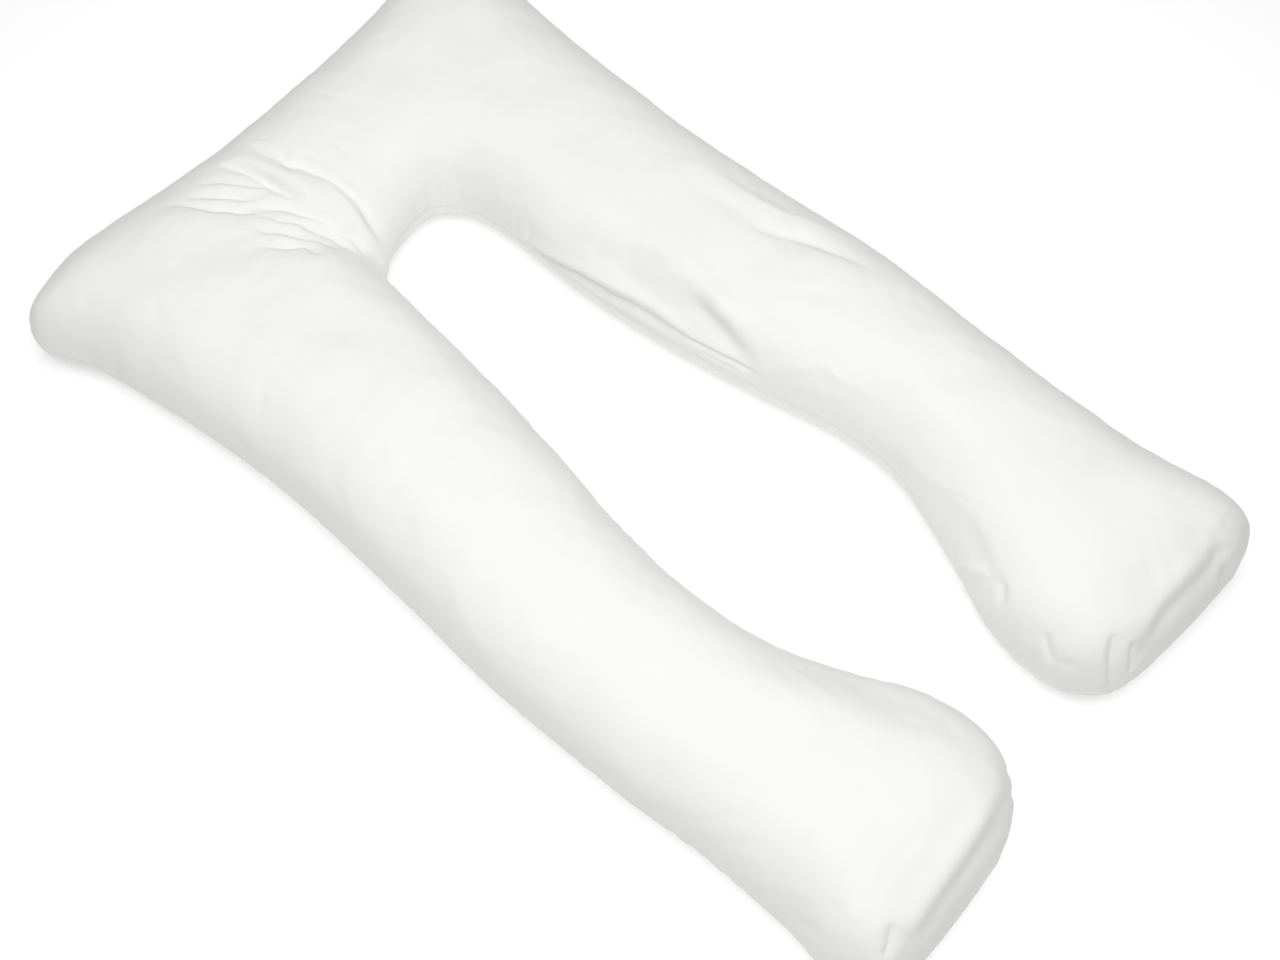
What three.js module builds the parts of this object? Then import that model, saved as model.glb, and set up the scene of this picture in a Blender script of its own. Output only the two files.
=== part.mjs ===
// A U-shaped body pillow: a top and a bottom panel cut to one outline, sewn together round the
// edge and stuffed. Millimetres, +Z up. It lies on its back on z = 0, its head towards +Y and
// its two feet towards -Y.
import * as THREE from "three";

// Driving sizes.
const roundingReach = 112; // how far in from the seam the top panel climbs to its full height
const endReach = 88; // the same at the ends of the feet, which are squarer
const edgeFullness = 2.1; // 2 is a round edge, more is a squarer one
const undersidePush = 1.12; // how hard the filling presses the bottom panel on the floor
const endSeamSwell = 3; // how far a foot's end seam stands out at its middle
const topSpans = 24; // quads across the top panel
const bottomSpans = topSpans / 2; // quads across the bottom panel
const foldSamples = 24; // points along each fold

// One row for each place along the U, from the left foot round the head to the right foot.
// outer and inner are the seam's two edges, crown and seam are heights above the floor, and
// rings is how many rings the mesh has from here to the next row.
const sections = [
  { place: "left foot end", outer: [-300, -681], inner: [-150, -676], crown: 168, seam: 58, rings: 2 },
  { place: "left foot corners", outer: [-350, -667], inner: [-104, -659], crown: 168, seam: 60, rings: 3 },
  { place: "left foot turn", outer: [-369, -615], inner: [-60, -612], crown: 172, seam: 63, rings: 3 },
  { place: "left foot", outer: [-363, -555], inner: [-50, -556], crown: 176, seam: 67, rings: 3 },
  { place: "left heel", outer: [-362, -490], inner: [-61, -492], crown: 175, seam: 70, rings: 3 },
  { place: "left ankle", outer: [-363, -420], inner: [-94, -420], crown: 172, seam: 72, rings: 3 },
  { place: "left calf", outer: [-371, -330], inner: [-129, -330], crown: 170, seam: 74, rings: 3 },
  { place: "left knee", outer: [-375, -220], inner: [-142, -220], crown: 171, seam: 75, rings: 3 },
  { place: "left lower thigh", outer: [-376, -110], inner: [-134, -110], crown: 173, seam: 75, rings: 3 },
  { place: "left thigh", outer: [-368, 10], inner: [-113, 10], crown: 175, seam: 75, rings: 3 },
  { place: "left upper thigh", outer: [-362, 130], inner: [-95, 130], crown: 175, seam: 75, rings: 3 },
  { place: "left hip", outer: [-360, 240], inner: [-83, 240], crown: 173, seam: 74, rings: 3 },
  { place: "left shoulder", outer: [-366, 340], inner: [-75, 314], crown: 170, seam: 72, rings: 3 },
  { place: "left shoulder turn", outer: [-379, 450], inner: [-71, 342], crown: 168, seam: 69, rings: 3 },
  { place: "left ear side", outer: [-397, 550], inner: [-64, 360], crown: 166, seam: 62, rings: 2 },
  { place: "left ear", outer: [-420, 612], inner: [-57, 368], crown: 164, seam: 54, rings: 2 },
  { place: "left ear tip", outer: [-413, 645], inner: [-50, 373], crown: 163, seam: 52, rings: 2 },
  { place: "left ear head side", outer: [-375, 662], inner: [-43, 377], crown: 162, seam: 56, rings: 4 },
  { place: "left of the head", outer: [-300, 672], inner: [-34, 381], crown: 160, seam: 64, rings: 8 },
  { place: "head bend", outer: [-200, 661], inner: [-23, 385], crown: 157, seam: 68, rings: 8 },
  { place: "head past the bend", outer: [-110, 650], inner: [-11, 387], crown: 159, seam: 70, rings: 5 },
  { place: "middle of the head", outer: [0, 645], inner: [5, 389], crown: 162, seam: 71, rings: 4 },
  { place: "right half of the head", outer: [110, 647], inner: [22, 392], crown: 164, seam: 71, rings: 3 },
  { place: "right of the head", outer: [200, 654], inner: [38, 393], crown: 166, seam: 69, rings: 3 },
  { place: "right ear head side", outer: [290, 667], inner: [54, 391], crown: 166, seam: 64, rings: 3 },
  { place: "right ear tip", outer: [360, 660], inner: [67, 385], crown: 166, seam: 56, rings: 2 },
  { place: "right ear", outer: [394, 634], inner: [77, 373], crown: 166, seam: 53, rings: 2 },
  { place: "right ear side", outer: [396, 592], inner: [84, 356], crown: 166, seam: 57, rings: 2 },
  { place: "right shoulder turn", outer: [373, 520], inner: [88, 330], crown: 167, seam: 64, rings: 3 },
  { place: "right shoulder", outer: [361, 430], inner: [89, 299], crown: 167, seam: 69, rings: 3 },
  { place: "right hip", outer: [355, 330], inner: [88, 257], crown: 166, seam: 72, rings: 3 },
  { place: "right upper thigh", outer: [351, 220], inner: [87, 195], crown: 164, seam: 74, rings: 4 },
  { place: "right thigh", outer: [354, 110], inner: [92, 105], crown: 162, seam: 75, rings: 4 },
  { place: "right lower thigh", outer: [360, 0], inner: [105, 0], crown: 162, seam: 75, rings: 4 },
  { place: "right knee", outer: [366, -110], inner: [125, -110], crown: 165, seam: 75, rings: 3 },
  { place: "right calf", outer: [362, -200], inner: [144, -200], crown: 168, seam: 75, rings: 3 },
  { place: "right lower calf", outer: [357, -290], inner: [146, -290], crown: 171, seam: 74, rings: 3 },
  { place: "right ankle", outer: [354, -370], inner: [120, -370], crown: 172, seam: 73, rings: 3 },
  { place: "right heel", outer: [355, -440], inner: [90, -440], crown: 173, seam: 71, rings: 3 },
  { place: "right foot", outer: [357, -500], inner: [63, -500], crown: 173, seam: 69, rings: 3 },
  { place: "right foot middle", outer: [364, -560], inner: [53, -560], crown: 172, seam: 66, rings: 3 },
  { place: "right foot turn", outer: [374, -614], inner: [60, -612], crown: 168, seam: 62, rings: 3 },
  { place: "right foot corners", outer: [360, -664], inner: [97, -656], crown: 164, seam: 59, rings: 2 },
  { place: "right foot end", outer: [310, -680], inner: [146, -669], crown: 164, seam: 58, rings: 0 },
];

// The main folds of the top panel, each along a path. drop is how far the cloth sinks (less
// than zero for a ridge) and width how far the fold reaches to each side.
const folds = [
  { fold: "fan, nearest the middle", drop: 6, width: 10,
    path: [[-70, 584], [-63, 543], [-52, 509], [-41, 476], [-37, 446], [-38, 418], [-41, 388]] },
  { fold: "fan, roll beside it", drop: -3, width: 12,
    path: [[-94, 590], [-80, 540], [-70, 495], [-62, 450], [-58, 420]] },
  { fold: "fan, second", drop: 5, width: 9,
    path: [[-117, 591], [-102, 552], [-97, 522], [-91, 488], [-84, 455]] },
  { fold: "fan, short one by the head", drop: 4, width: 9,
    path: [[-181, 589], [-154, 557], [-131, 526], [-114, 512]] },
  { fold: "fan, longest", drop: 6, width: 10,
    path: [[-200, 595], [-178, 558], [-150, 520], [-122, 494], [-103, 470], [-88, 434], [-78, 400],
      [-75, 372]] },
  { fold: "fan, beside the longest", drop: 4, width: 8,
    path: [[-138, 496], [-124, 467], [-107, 440], [-94, 416], [-86, 385]] },
  { fold: "fan, next to the leg", drop: 4, width: 9,
    path: [[-154, 487], [-137, 456], [-120, 429], [-104, 402]] },
  { fold: "fan, on the leg", drop: 4, width: 9,
    path: [[-170, 462], [-146, 430], [-131, 408], [-122, 388]] },
  { fold: "hollow at the inner corner", drop: 17, width: 24,
    path: [[-108, 448], [-91, 410], [-79, 382], [-66, 348]] },
  { fold: "hollow inside the left shoulder", drop: 6, width: 32,
    path: [[-185, 340], [-172, 290], [-158, 235], [-146, 180]] },
  { fold: "right thigh, ridge along the slack", drop: -7, width: 13,
    path: [[168, 165], [165, 97], [158, 37], [151, -5], [148, -50], [147, -90], [150, -118],
      [158, -150]] },
  { fold: "right thigh, slack beside the seam", drop: 18, width: 18,
    path: [[106, 215], [114, 150], [118, 90], [120, 30], [122, -20], [127, -60], [131, -110]] },
  { fold: "right thigh, outer crease", drop: 4, width: 12,
    path: [[248, 145], [255, 86], [258, 50], [262, 2], [284, -44], [299, -96], [304, -125]] },
  { fold: "right thigh, edge of the outer wall", drop: -3, width: 12,
    path: [[276, 165], [284, 104], [287, 74], [289, 41], [295, 13], [306, -12], [320, -50],
      [329, -85]] },
  { fold: "right foot, inner hollow", drop: 11, width: 15,
    path: [[134, -340], [127, -370], [119, -401], [107, -434], [92, -462], [76, -492]] },
  { fold: "right foot, roll beside it", drop: -4, width: 12,
    path: [[154, -355], [149, -385], [141, -420], [128, -453], [112, -480], [92, -505]] },
  { fold: "right foot, corner dimple", drop: 9, width: 15,
    path: [[260, -612], [277, -638], [292, -660]] },
  { fold: "left foot, slope inside the ankle", drop: 17, width: 34,
    path: [[-142, -345], [-127, -398], [-110, -450], [-96, -500], [-90, -550], [-98, -605]] },
  { fold: "left foot, edge of the end", drop: -6, width: 14,
    path: [[-138, -628], [-164, -642], [-196, -650], [-232, -656], [-268, -659], [-300, -648]] },
  { fold: "right foot, edge of the end", drop: -6, width: 14,
    path: [[116, -620], [140, -640], [172, -650], [206, -654], [240, -648]] },
];

// A smooth curve through one pair of columns, read at a row number with a fraction.
function columnCurve(pick) {
  const points = sections.map((row) => new THREE.Vector3(...pick(row), 0));
  const curve = new THREE.CatmullRomCurve3(points, false, "centripetal");
  return (row) => curve.getPoint(row / (sections.length - 1));
}

const outerEdge = columnCurve((row) => row.outer);
const innerEdge = columnCurve((row) => row.inner);
const heights = columnCurve((row) => [row.crown, row.seam]);

// The rings of the mesh: each joins the outer seam to the inner one at one place along the U.
// The two end rings are the feet's end seams.
function makeRings() {
  const last = sections.length - 1;
  const rows = sections.flatMap((section, index) =>
    Array.from({ length: section.rings }, (_, i) => index + i / section.rings),
  );
  return [...rows, last].map((row) => {
    const { x: crown, y: seam } = heights(row);
    const atEnd = row === 0 || row === last;
    const fromEnd = THREE.MathUtils.smoothstep(Math.min(row, last - row), 0.5, 4.5);
    const reach = THREE.MathUtils.lerp(endReach, roundingReach, fromEnd);
    return { outer: outerEdge(row), inner: innerEdge(row), crown, seam, reach, atEnd };
  });
}

// A point across a ring. share runs from 0 at the outer seam to 1 at the inner one, and the
// points crowd towards both seams, where the panels turn down.
function pointAcross(ring, share) {
  const eased = (1 - Math.cos(Math.PI * share)) / 2;
  const point = ring.outer.clone().lerp(ring.inner, eased);
  if (ring.atEnd) point.y -= endSeamSwell * 4 * eased * (1 - eased);
  return point;
}

// The whole seam as one closed loop.
function seamLoop(rings) {
  const endSeam = (ring) =>
    Array.from({ length: topSpans - 1 }, (_, i) => pointAcross(ring, (i + 1) / topSpans));
  return [
    ...rings.map((ring) => ring.outer),
    ...endSeam(rings[rings.length - 1]),
    ...rings.map((ring) => ring.inner).reverse(),
    ...endSeam(rings[0]).reverse(),
  ];
}

// A distance to the seam with no crease where two edges are equally near. Each straight piece
// of the seam pulls on the point by one part in distance to the fourth, and the distance is
// that of an endless straight seam with the same pull.
function softDistance(point, loop) {
  let pull = 0;
  loop.forEach((from, i) => {
    const to = loop[(i + 1) % loop.length];
    const length = Math.hypot(to.x - from.x, to.y - from.y);
    const alongX = (to.x - from.x) / length;
    const alongY = (to.y - from.y) / length;
    const start = (from.x - point.x) * alongX + (from.y - point.y) * alongY;
    const away = Math.abs((point.x - from.x) * alongY - (point.y - from.y) * alongX) + 0.001;
    const part = (s) =>
      s / (2 * away ** 2 * (away ** 2 + s ** 2)) + Math.atan(s / away) / (2 * away ** 3);
    pull += part(start + length) - part(start);
  });
  return Math.cbrt(Math.PI / 2 / pull);
}

// How full a panel is at a distance from the seam: 0 at the seam and 1 on the crown.
function fullness(distance, reach) {
  const outside = 1 - Math.min(distance / reach, 1);
  return (1 - outside ** edgeFullness) ** (1 / edgeFullness);
}

const foldPaths = folds.map(({ path, drop, width }) => {
  const curve = new THREE.CatmullRomCurve3(path.map(([x, y]) => new THREE.Vector3(x, y, 0)));
  return { drop, width, points: curve.getPoints(foldSamples) };
});

// How far the folds lower a point of the top panel. Each fold fades out at both of its ends.
function foldDrop(point) {
  return foldPaths.reduce((sum, { points, drop, width }) => {
    let nearest = 0;
    points.forEach((candidate, i) => {
      const nearer = candidate.distanceToSquared(point) < points[nearest].distanceToSquared(point);
      if (nearer) nearest = i;
    });
    const aside = Math.hypot(points[nearest].x - point.x, points[nearest].y - point.y);
    const fade = Math.sin((Math.PI * (nearest + 0.5)) / (foldSamples + 1)) ** 0.7;
    return sum + drop * fade * Math.exp(-((aside / width) ** 2));
  }, 0);
}

function pointOnPanel(ring, share, loop, onTop) {
  const point = pointAcross(ring, share);
  const full = fullness(softDistance(point, loop), ring.reach);
  const dropped = onTop ? (ring.crown - ring.seam - foldDrop(point)) * full : 0;
  point.z = onTop ? ring.seam + dropped : Math.max(0, ring.seam * (1 - undersidePush * full));
  return point;
}

// Both panels as one closed skin. They share the points on the seam, where the bottom panel
// has a point for every other one of the top panel's.
function makePillow() {
  const rings = makeRings();
  const loop = seamLoop(rings);
  const points = [];
  const addPoint = (point) => points.push(point) - 1;
  const acrossRing = (ring, spans, make) =>
    Array.from({ length: spans + 1 }, (_, i) => make(ring, i, i / spans));

  const top = rings.map((ring) =>
    acrossRing(ring, topSpans, (_, i, share) => {
      const onSeam = ring.atEnd || i === 0 || i === topSpans;
      if (!onSeam) return addPoint(pointOnPanel(ring, share, loop, true));
      return addPoint(pointAcross(ring, share).setZ(ring.seam));
    }),
  );
  const bottom = rings.map((ring, index) =>
    acrossRing(ring, bottomSpans, (_, i, share) => {
      const onSeam = ring.atEnd || i === 0 || i === bottomSpans;
      return onSeam ? top[index][2 * i] : addPoint(pointOnPanel(ring, share, loop, false));
    }),
  );

  const triangles = [];
  const fan = (corners) => {
    corners.slice(2).forEach((corner, i) => triangles.push(corners[0], corners[i + 1], corner));
  };
  for (let ring = 0; ring < rings.length - 1; ring++) {
    const [near, far] = [top[ring], top[ring + 1]];
    for (let i = 0; i < topSpans; i++) fan([near[i], near[i + 1], far[i + 1], far[i]]);
    const [under, beyond] = [bottom[ring], bottom[ring + 1]];
    for (let i = 0; i < bottomSpans; i++) {
      const quad = [under[i], beyond[i], beyond[i + 1], under[i + 1]];
      if (rings[ring].atEnd) fan([near[2 * i + 1], ...quad]);
      else if (rings[ring + 1].atEnd) fan([far[2 * i + 1], quad[2], quad[3], quad[0], quad[1]]);
      else fan(quad);
    }
  }
  const geometry = new THREE.BufferGeometry().setFromPoints(points);
  geometry.setIndex(triangles);
  return geometry;
}

const cotton = new THREE.MeshStandardMaterial({ color: 0xf3f3f1, roughness: 0.92, metalness: 0 });
const geometry = makePillow();
geometry.computeBoundingBox();
const middle = geometry.boundingBox.getCenter(new THREE.Vector3());
geometry.translate(-middle.x, -middle.y, 0);
const pillow = new THREE.Mesh(geometry, cotton);
pillow.name = "pillow";

const group = new THREE.Group();
group.add(pillow);
export default group;
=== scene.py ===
import math

import bmesh
import bpy
import numpy as np
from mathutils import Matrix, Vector
from mathutils.bvhtree import BVHTree


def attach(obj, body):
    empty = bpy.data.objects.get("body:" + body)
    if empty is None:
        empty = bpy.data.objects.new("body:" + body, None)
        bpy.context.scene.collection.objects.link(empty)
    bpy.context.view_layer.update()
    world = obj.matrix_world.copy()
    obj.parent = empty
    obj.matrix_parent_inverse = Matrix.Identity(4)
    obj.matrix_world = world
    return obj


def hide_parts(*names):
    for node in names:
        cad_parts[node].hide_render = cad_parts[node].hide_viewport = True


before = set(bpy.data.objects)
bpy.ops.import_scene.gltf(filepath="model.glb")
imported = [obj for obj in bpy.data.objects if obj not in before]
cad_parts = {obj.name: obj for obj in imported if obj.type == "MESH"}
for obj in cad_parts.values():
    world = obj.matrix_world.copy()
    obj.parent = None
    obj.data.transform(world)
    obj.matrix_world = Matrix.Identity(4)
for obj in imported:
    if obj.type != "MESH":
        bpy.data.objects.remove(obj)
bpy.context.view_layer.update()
print("stage: frame loaded")

cover = {
    "solidSpans": 24,           # faces across the solid's top panel, twice the bottom's
    "panelWidth": 0.34,         # m over the cloth from seam to seam, about
    "topRows": 88,              # rows of quads across the top panel
    "bottomRows": (0, 1, 3, 6, 10, 16, 23, 32),  # those that the bottom panel has too
    "ringCount": 720,           # rings along the whole U
    "seamRowPitch": 0.0012,     # m between the first rows beside the seam
    "openRowPitch": 0.0045,     # m between the rows on the open cloth
    "rowPitchGrowth": 0.08,     # how fast the rows spread out from the seam
    "finestPitch": 0.0013,      # m between points along a sharp crease
    "seamDepth": 0.0020,        # m that the seam is pulled in
    "seamReach": 0.0026,        # m that the pull reaches to each side
    "seamFade": 0.004,          # m beside the seam over which the creases fade
    "gatherHeight": 0.0010,     # m, gathers beside the seam
    "gatherShare": 0.45,        # share of that height, along the legs
    "gatherLength": (0.015, 0.034),
    "gatherPatches": (0.10, 0.25),  # m, stretches with more gathers
    "gatherReach": 0.013,       # m from the seam to where a gather is highest
    "gatherEnds": 0.035,        # m over which they die out towards the panels' corners
    "smoothCorner": 0.012,      # m round each corner where the seam is smooth
    "lumpHeight": 0.0007,       # m, soft lumps of the filling
    "lumpLength": (0.07, 0.16), # m, how long the lumps are
    "rippleHeight": 0.00020,    # m, slack of the cloth itself
    "rippleLength": (0.018, 0.04),
    "rippleWaves": 40,
    "openCloth": 0.05,          # m from the seam to the lumps' and ripples' full height
    "seed": 11,
}

# What changes towards the feet: the seam's pull is shallower, and gathers are higher and wider.
feet = {
    "from": -0.50,              # m, y where the change begins
    "over": 0.14,               # m over which it comes in
    "shallower": 0.75,
    "higher": 0.1,
    "wider": 0.5,
}

# Where the rings stand closer, at the fan of folds, both foot ends and the hollow in the right
# foot: x, y and reach in metres, and how much closer.
closeRings = [(-0.10, 0.49, 0.15, 0.7), (-0.21, -0.65, 0.09, 0.7), (0.21, -0.65, 0.09, 0.7),
              (0.12, -0.43, 0.10, 0.4)]

# Where the panels' long sides meet the foot ends on the seam, in metres, seen from above.
footCorners = {
    "left outer": (-0.2885, -0.6763),
    "left inner": (-0.1385, -0.6713),
    "right outer": (0.3215, -0.6753),
    "right inner": (0.1575, -0.6643),
}

# The creases of the cloth, in metres. depth is how far a crease sinks, less than zero for a
# ridge, and width how far it reaches. roll is how high the cloth stands beside it. lean makes
# the side on its right hand wider, and sharp goes from 0, a round trough, to 1, a pinched one.
# step is how much higher the cloth lies on its left hand than on its right. A path is a smooth
# curve through its points, laid on the nearest cloth. What a crease doesn't say is plain.
plainCrease = {"depth": 0.0, "roll": 0.0, "lean": 0.0, "sharp": 0.0, "step": 0.0}
creases = {
    "right thigh, slack under the ridge": {"depth": 0.001, "width": 0.017, "sharp": 0.2,
        "step": 0.008,
        "path": [(0.157, 0.029, 0.145), (0.153, 0.000, 0.139), (0.150, -0.028, 0.132),
            (0.147, -0.057, 0.123), (0.143, -0.084, 0.112)]},
    "fan, slope beside the second": {"depth": 0.0006, "width": 0.006, "lean": 0.2, "sharp": 0.1,
        "path": [(-0.105, 0.572, 0.153), (-0.100, 0.547, 0.156), (-0.095, 0.527, 0.155),
            (-0.093, 0.506, 0.155)]},
    "fan, slope beside the nearest": {"depth": 0.0012, "width": 0.009, "lean": 0.3, "sharp": 0.1,
        "path": [(-0.066, 0.557, 0.158), (-0.058, 0.523, 0.160), (-0.052, 0.503, 0.159),
            (-0.046, 0.482, 0.158), (-0.042, 0.460, 0.155), (-0.040, 0.437, 0.146),
            (-0.040, 0.414, 0.131)]},
    "inner corner, hollow": {"depth": 0.006, "width": 0.013, "sharp": 0.1,
        "path": [(-0.048, 0.418, 0.137), (-0.050, 0.402, 0.123), (-0.048, 0.388, 0.103),
            (-0.046, 0.377, 0.080)]},
    "inner corner, fall to the hollow": {"width": 0.013, "step": -0.0062,
        "path": [(-0.023, 0.465, 0.152), (-0.025, 0.443, 0.144), (-0.029, 0.422, 0.134),
            (-0.033, 0.403, 0.119), (-0.035, 0.389, 0.097), (-0.033, 0.382, 0.064)]},
    "fan, nearest the middle": {"depth": 0.0052, "width": 0.009, "roll": 0.1, "lean": -0.25,
        "sharp": 0.7, "step": -0.0026,
        "path": [(-0.059, 0.589, 0.148), (-0.059, 0.565, 0.155), (-0.052, 0.548, 0.157),
            (-0.049, 0.527, 0.159), (-0.041, 0.514, 0.157), (-0.036, 0.498, 0.155),
            (-0.030, 0.481, 0.152), (-0.026, 0.467, 0.149), (-0.026, 0.451, 0.144),
            (-0.024, 0.436, 0.139), (-0.027, 0.423, 0.131), (-0.029, 0.406, 0.118),
            (-0.030, 0.393, 0.101)]},
    "fan, short line by the head seam": {"depth": 0.0014, "width": 0.0045, "roll": 0.1,
        "lean": -0.4, "sharp": 0.7,
        "path": [(-0.050, 0.600, 0.145), (-0.038, 0.577, 0.152), (-0.035, 0.563, 0.154)]},
    "fan, hook on the first": {"depth": 0.0012, "width": 0.004, "roll": 0.1, "lean": -0.4,
        "sharp": 0.7,
        "path": [(-0.041, 0.552, 0.154), (-0.045, 0.535, 0.156)]},
    "fan, second": {"depth": 0.0046, "width": 0.0072, "roll": 0.1, "lean": -0.35, "sharp": 0.7,
        "step": -0.0018,
        "path": [(-0.106, 0.596, 0.147), (-0.098, 0.579, 0.152), (-0.091, 0.557, 0.152),
            (-0.087, 0.540, 0.153), (-0.086, 0.527, 0.152), (-0.084, 0.511, 0.152),
            (-0.080, 0.493, 0.151), (-0.076, 0.476, 0.150)]},
    "fan, branch of the second": {"depth": 0.0028, "width": 0.0058, "roll": 0.1, "lean": -0.45,
        "sharp": 0.7, "step": -0.001,
        "path": [(-0.140, 0.591, 0.149), (-0.124, 0.574, 0.152), (-0.113, 0.557, 0.154),
            (-0.101, 0.539, 0.155), (-0.087, 0.522, 0.152)]},
    "fan, short fold": {"depth": 0.0028, "width": 0.0056, "roll": 0.1, "lean": -0.45, "sharp": 0.7,
        "step": -0.0008,
        "path": [(-0.170, 0.594, 0.148), (-0.155, 0.577, 0.150), (-0.143, 0.562, 0.151),
            (-0.129, 0.546, 0.152), (-0.120, 0.531, 0.151), (-0.110, 0.522, 0.152)]},
    "fan, long fold": {"depth": 0.0036, "width": 0.006, "roll": 0.1, "lean": -0.45, "sharp": 0.7,
        "step": -0.0012,
        "path": [(-0.189, 0.600, 0.148), (-0.173, 0.576, 0.151), (-0.167, 0.563, 0.153),
            (-0.160, 0.549, 0.154), (-0.146, 0.534, 0.154), (-0.137, 0.519, 0.153),
            (-0.125, 0.507, 0.152)]},
    "fan, long fold's lower half": {"depth": 0.0042, "width": 0.0068, "roll": 0.1, "lean": -0.45,
        "sharp": 0.7, "step": -0.0016,
        "path": [(-0.118, 0.504, 0.151), (-0.100, 0.490, 0.150), (-0.095, 0.481, 0.150),
            (-0.091, 0.471, 0.150), (-0.085, 0.460, 0.150), (-0.078, 0.450, 0.145),
            (-0.074, 0.437, 0.142), (-0.073, 0.425, 0.135)]},
    "fan, beside the long fold": {"depth": 0.0026, "width": 0.005, "roll": 0.1, "lean": -0.45,
        "sharp": 0.7, "step": -0.0008,
        "path": [(-0.127, 0.501, 0.154), (-0.118, 0.485, 0.155), (-0.113, 0.472, 0.156),
            (-0.102, 0.459, 0.153), (-0.096, 0.445, 0.150), (-0.089, 0.432, 0.144),
            (-0.083, 0.421, 0.137), (-0.081, 0.408, 0.130), (-0.077, 0.395, 0.124),
            (-0.072, 0.382, 0.118)]},
    "fan, last line to the corner": {"depth": 0.0028, "width": 0.005, "roll": 0.1, "lean": -0.4,
        "sharp": 0.7, "step": -0.0008,
        "path": [(-0.071, 0.428, 0.137), (-0.068, 0.416, 0.130), (-0.062, 0.406, 0.124),
            (-0.062, 0.397, 0.118), (-0.065, 0.383, 0.112)]},
    "fan, next to the leg": {"depth": 0.0028, "width": 0.0052, "roll": 0.1, "lean": -0.45,
        "sharp": 0.7, "step": -0.0008,
        "path": [(-0.143, 0.492, 0.161), (-0.138, 0.475, 0.161), (-0.126, 0.461, 0.160),
            (-0.119, 0.448, 0.158), (-0.109, 0.434, 0.154), (-0.102, 0.425, 0.147),
            (-0.098, 0.413, 0.142), (-0.090, 0.402, 0.135)]},
    "fan, on the leg": {"depth": 0.0034, "width": 0.006, "roll": 0.1, "lean": -0.45, "sharp": 0.7,
        "step": -0.0012,
        "path": [(-0.156, 0.461, 0.162), (-0.143, 0.443, 0.161), (-0.130, 0.430, 0.159),
            (-0.121, 0.423, 0.155), (-0.119, 0.410, 0.157), (-0.116, 0.399, 0.157)]},
    "head, soft line": {"depth": 0.0012, "width": 0.006, "roll": 0.1, "lean": -0.4, "sharp": 0.3,
        "path": [(0.010, 0.515, 0.161), (0.011, 0.500, 0.161), (0.011, 0.486, 0.159),
            (0.010, 0.477, 0.157)]},
    "head, dent": {"depth": 0.0015, "width": 0.005, "roll": 0.1, "sharp": 0.1,
        "path": [(0.096, 0.493, 0.165), (0.092, 0.480, 0.163), (0.089, 0.465, 0.161)]},
    "head, dent by the seam": {"depth": 0.0009, "width": 0.0045, "roll": 0.15, "sharp": 0.1,
        "path": [(0.055, 0.582, 0.154), (0.062, 0.556, 0.161), (0.071, 0.533, 0.163)]},
    "right thigh, ridge along the slack": {"depth": -0.0008, "width": 0.0085, "lean": 0.3,
        "sharp": 0.3,
        "path": [(0.172, 0.107, 0.158), (0.161, 0.074, 0.151), (0.157, 0.040, 0.148),
            (0.153, 0.010, 0.142), (0.149, -0.023, 0.134), (0.146, -0.052, 0.126),
            (0.144, -0.082, 0.116), (0.146, -0.108, 0.115)]},
    "right thigh, fold above the seam": {"depth": 0.0026, "width": 0.0105, "sharp": 0.2,
        "step": 0.01,
        "path": [(0.100, 0.292, 0.073), (0.099, 0.252, 0.079), (0.099, 0.211, 0.086),
            (0.102, 0.171, 0.095), (0.106, 0.123, 0.100), (0.113, 0.079, 0.104),
            (0.117, 0.038, 0.101), (0.121, 0.012, 0.099)]},
    "right thigh, line above the seam": {"depth": 0.0024, "width": 0.005, "sharp": 0.5,
        "step": 0.0036,
        "path": [(0.116, 0.040, 0.101), (0.120, 0.012, 0.099), (0.127, -0.031, 0.100),
            (0.134, -0.066, 0.100), (0.139, -0.094, 0.101)]},
    "right thigh, line at the seam": {"depth": 0.0014, "width": 0.003, "sharp": 0.5,
        "path": [(0.117, 0.000, 0.082), (0.122, -0.025, 0.089), (0.126, -0.045, 0.088),
            (0.130, -0.070, 0.089), (0.135, -0.090, 0.091)]},
    "right thigh, edge of the outer wall": {"depth": -0.0014, "width": 0.007, "lean": 0.2,
        "sharp": 0.5,
        "path": [(0.291, 0.145, 0.155), (0.298, 0.109, 0.153), (0.301, 0.079, 0.153),
            (0.301, 0.046, 0.152), (0.307, 0.018, 0.151), (0.318, -0.005, 0.147),
            (0.332, -0.042, 0.143), (0.340, -0.068, 0.140)]},
    "right thigh, outer crease": {"depth": 0.0026, "width": 0.0075, "roll": 0.1, "lean": -0.4,
        "sharp": 0.5, "step": -0.001,
        "path": [(0.266, 0.026, 0.158), (0.273, 0.007, 0.157), (0.285, -0.015, 0.155),
            (0.295, -0.039, 0.153), (0.302, -0.065, 0.153), (0.310, -0.091, 0.152),
            (0.313, -0.110, 0.153)]},
    "right thigh, outer hollow": {"depth": 0.0006, "width": 0.012,
        "path": [(0.262, 0.128, 0.159), (0.267, 0.091, 0.156), (0.274, 0.056, 0.155),
            (0.262, 0.027, 0.159)]},
    "right calf, dent": {"depth": 0.0014, "width": 0.009,
        "path": [(0.229, -0.073, 0.161), (0.244, -0.095, 0.162), (0.264, -0.118, 0.163)]},
    "right calf, edge of the inner wall": {"depth": -0.0018, "width": 0.007, "sharp": 0.5,
        "path": [(0.157, -0.108, 0.126), (0.165, -0.133, 0.129), (0.181, -0.157, 0.140),
            (0.182, -0.183, 0.137), (0.188, -0.208, 0.140), (0.183, -0.228, 0.135)]},
    "right foot, edge of the hollow": {"depth": -0.0022, "width": 0.011, "sharp": 0.2,
        "path": [(0.164, -0.260, 0.104), (0.158, -0.322, 0.116), (0.153, -0.368, 0.132),
            (0.146, -0.391, 0.135), (0.141, -0.419, 0.141), (0.129, -0.442, 0.139),
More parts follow.
